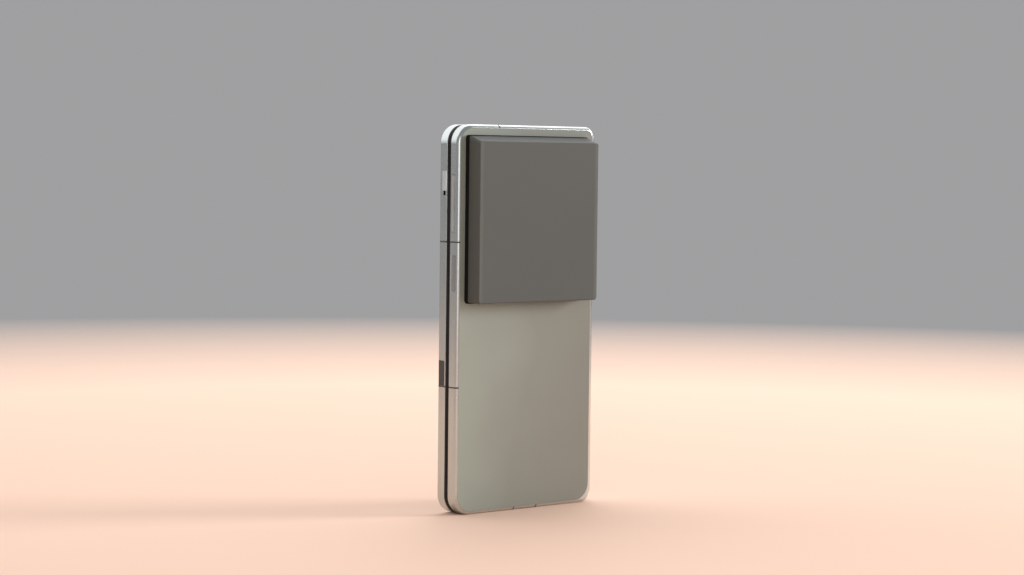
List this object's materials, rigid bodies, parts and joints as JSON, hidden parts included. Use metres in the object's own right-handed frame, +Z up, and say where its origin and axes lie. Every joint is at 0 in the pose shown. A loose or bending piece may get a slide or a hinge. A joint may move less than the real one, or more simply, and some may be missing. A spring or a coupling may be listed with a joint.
{
  "type": "foldable smartphone",
  "caption": "Book-style folding phone, stored folded shut and upright: two slim metal halves on a geared hinge spine, with a square cover over the rear cameras.",
  "frame": {"origin": "centre of the bounding box's bottom face, on the surface the folded phone stands on", "axes": "+X from the open edge to the hinge spine, +Y from the camera cover through the phone to the cover screen, +Z up along the phone's height"},
  "size_m": [0.0738, 0.0204, 0.1534],
  "materials": {
    "satin_aluminium": "satin",
    "antenna_plastic": "matte",
    "rear_glass": "frosted",
    "black_plastic": "matte",
    "screen_film": "gloss",
    "steel": "brushed",
    "dark_steel": "satin",
    "board_green": "satin",
    "battery_wrap": "matte",
    "flex_film": "satin",
    "cover_plastic": "matte",
    "gasket_rubber": "matte",
    "cover_glass": "gloss",
    "lens_black": "gloss",
    "flash_lens": "satin"
  },
  "bodies": {
    "camera_half": {"camera_frame": "satin_aluminium", "camera_frame_bands": "antenna_plastic", "rear_cover": "rear_glass", "camera_bezel": "black_plastic", "camera_screen_plate": "steel", "inner_screen_camera_side": "screen_film", "main_board": "board_green", "board_shields": "steel", "camera_battery": "battery_wrap", "sub_board": "board_green", "usb_port": "steel", "bottom_speaker": "black_plastic", "vibration_motor": "steel", "camera_island": "dark_steel", "island_glass": "cover_glass", "camera_modules": "lens_black", "camera_flash": "flash_lens", "inner_selfie_camera": "lens_black", "camera_hinge_brackets": "steel", "key_switches": "flex_film", "bracket_screws_camera": "dark_steel", "flex_connector_camera": "black_plastic"},
    "volume_key": {"volume_key": "satin_aluminium"},
    "power_key": {"power_key": "satin_aluminium"},
    "camera_cover": {"camera_cover": "cover_plastic", "cover_gasket": "gasket_rubber"},
    "hinge_spine": {"spine_cover": "satin_aluminium", "spine_end_caps": "satin_aluminium", "hinge_bases": "dark_steel", "gear_shafts": "steel", "hinge_beam": "dark_steel", "inner_screen_fold": "screen_film", "hinge_flex_cable": "flex_film"},
    "display_half": {"display_frame": "satin_aluminium", "display_frame_bands": "antenna_plastic", "antenna_window": "antenna_plastic", "cover_glass": "cover_glass", "cover_screen": "screen_film", "display_bezel": "black_plastic", "display_screen_plate": "steel", "inner_screen_display_side": "screen_film", "display_battery": "battery_wrap", "display_board": "board_green", "front_camera": "lens_black", "earpiece": "black_plastic", "display_hinge_brackets": "steel", "slider_switch": "black_plastic", "sim_reader": "steel", "bracket_screws_display": "dark_steel", "flex_connector_display": "black_plastic"},
    "alert_slider": {"alert_slider": "satin_aluminium"},
    "sim_tray": {"sim_tray": "satin_aluminium"},
    "camera_outer_gears": {"camera_outer_gears": "steel"},
    "camera_inner_gears": {"camera_inner_gears": "steel"},
    "display_inner_gears": {"display_inner_gears": "steel"},
    "display_outer_gears": {"display_outer_gears": "steel"}
  },
  "joints": [
    {"name": "spine_fold", "type": "hinge", "parent": "camera_half", "child": "hinge_spine", "pos_m": [0.033, 0.0032, 0.0767], "axis": [0, 0, -1], "range_deg": [0, 90], "deforming": ["inner_screen_fold", "hinge_flex_cable"]},
    {"name": "display_fold", "type": "hinge", "parent": "hinge_spine", "child": "display_half", "pos_m": [0.033, 0.0054, 0.0767], "axis": [0, 0, -1], "range_deg": [0, 90], "deforming": ["inner_screen_fold", "hinge_flex_cable"]},
    {"name": "camera_outer_gears_turn", "type": "hinge", "parent": "hinge_spine", "child": "camera_outer_gears", "pos_m": [0.03457, 0.00236, 0.0767], "axis": [0, 0, -1], "range_deg": [-337.5, 0]},
    {"name": "camera_inner_gears_turn", "type": "hinge", "parent": "hinge_spine", "child": "camera_inner_gears", "pos_m": [0.03457, 0.00365, 0.0767], "axis": [0, 0, -1], "range_deg": [0, 337.5]},
    {"name": "display_inner_gears_turn", "type": "hinge", "parent": "hinge_spine", "child": "display_inner_gears", "pos_m": [0.03457, 0.00495, 0.0767], "axis": [0, 0, -1], "range_deg": [-337.5, 0]},
    {"name": "display_outer_gears_turn", "type": "hinge", "parent": "hinge_spine", "child": "display_outer_gears", "pos_m": [0.03457, 0.00624, 0.0767], "axis": [0, 0, -1], "range_deg": [0, 337.5]},
    {"name": "volume_rock", "type": "hinge", "parent": "camera_half", "child": "volume_key", "pos_m": [-0.0351, 0.0013, 0.1225], "axis": [0, 1, 0], "range_deg": [-1, 1], "stiffness_Nm_per_rad": 0.7},
    {"name": "power_press", "type": "slide", "parent": "camera_half", "child": "power_key", "axis": [1, 0, 0], "range_m": [0, 0.0002], "stiffness_N_per_m": 4000, "springref_m": -0.0002},
    {"name": "cover_lift", "type": "slide", "parent": "camera_half", "child": "camera_cover", "axis": [0, -1, 0], "range_m": [0, 0.03]},
    {"name": "alert_slide", "type": "slide", "parent": "display_half", "child": "alert_slider", "axis": [0, 0, -1], "range_m": [0, 0.0024]},
    {"name": "tray_slide", "type": "slide", "parent": "display_half", "child": "sim_tray", "axis": [0, 0, -1], "range_m": [0, 0.017]}
  ],
  "couplings": [
    {"joint": "display_fold", "follows": "spine_fold", "ratio": 1},
    {"joint": "camera_outer_gears_turn", "follows": "spine_fold", "ratio": -3.75},
    {"joint": "camera_inner_gears_turn", "follows": "spine_fold", "ratio": 3.75},
    {"joint": "display_inner_gears_turn", "follows": "spine_fold", "ratio": -3.75},
    {"joint": "display_outer_gears_turn", "follows": "spine_fold", "ratio": 3.75}
  ]
}
